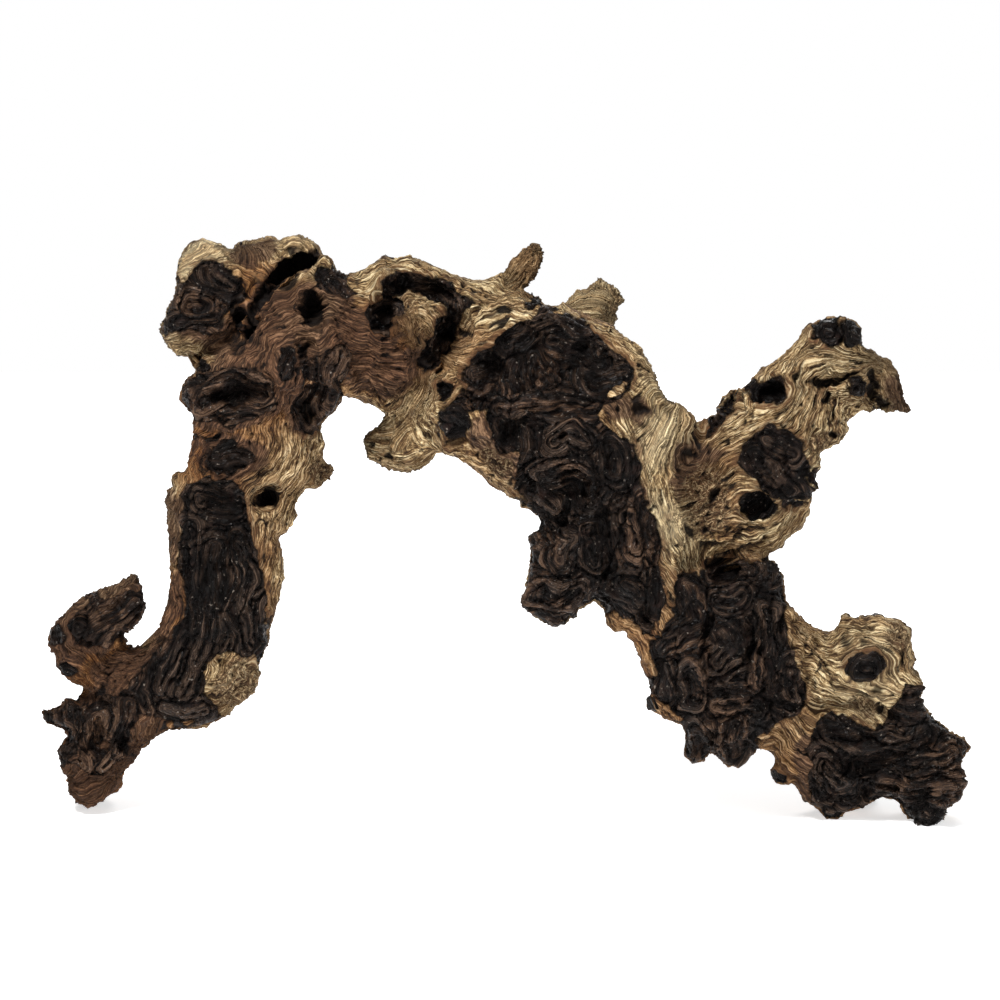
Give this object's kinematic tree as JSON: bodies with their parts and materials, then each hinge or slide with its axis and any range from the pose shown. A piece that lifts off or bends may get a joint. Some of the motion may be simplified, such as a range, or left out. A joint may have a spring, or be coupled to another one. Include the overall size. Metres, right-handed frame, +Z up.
{
  "type": "mopani wood",
  "caption": "Gnarled arched root wood standing on its feet, with pale stranded sapwood, dark folded heartwood burls, hollows and a raised branch.",
  "frame": {"origin": "on the ground, at the middle of the wood's box seen from above", "axes": "+X to the right foot along the arch, +Y to the back, +Z up"},
  "size_m": [0.4624, 0.0958, 0.2931],
  "materials": {
    "heartwood": "satin",
    "sapwood": "matt"
  },
  "bodies": {
    "root": {"left_prong": "heartwood", "left_toe": "heartwood", "left_leg": "heartwood", "crown": "sapwood", "centre_burl": "heartwood", "right_arm": "sapwood", "right_block": "heartwood", "right_foot": "heartwood"}
  },
  "joints": []
}
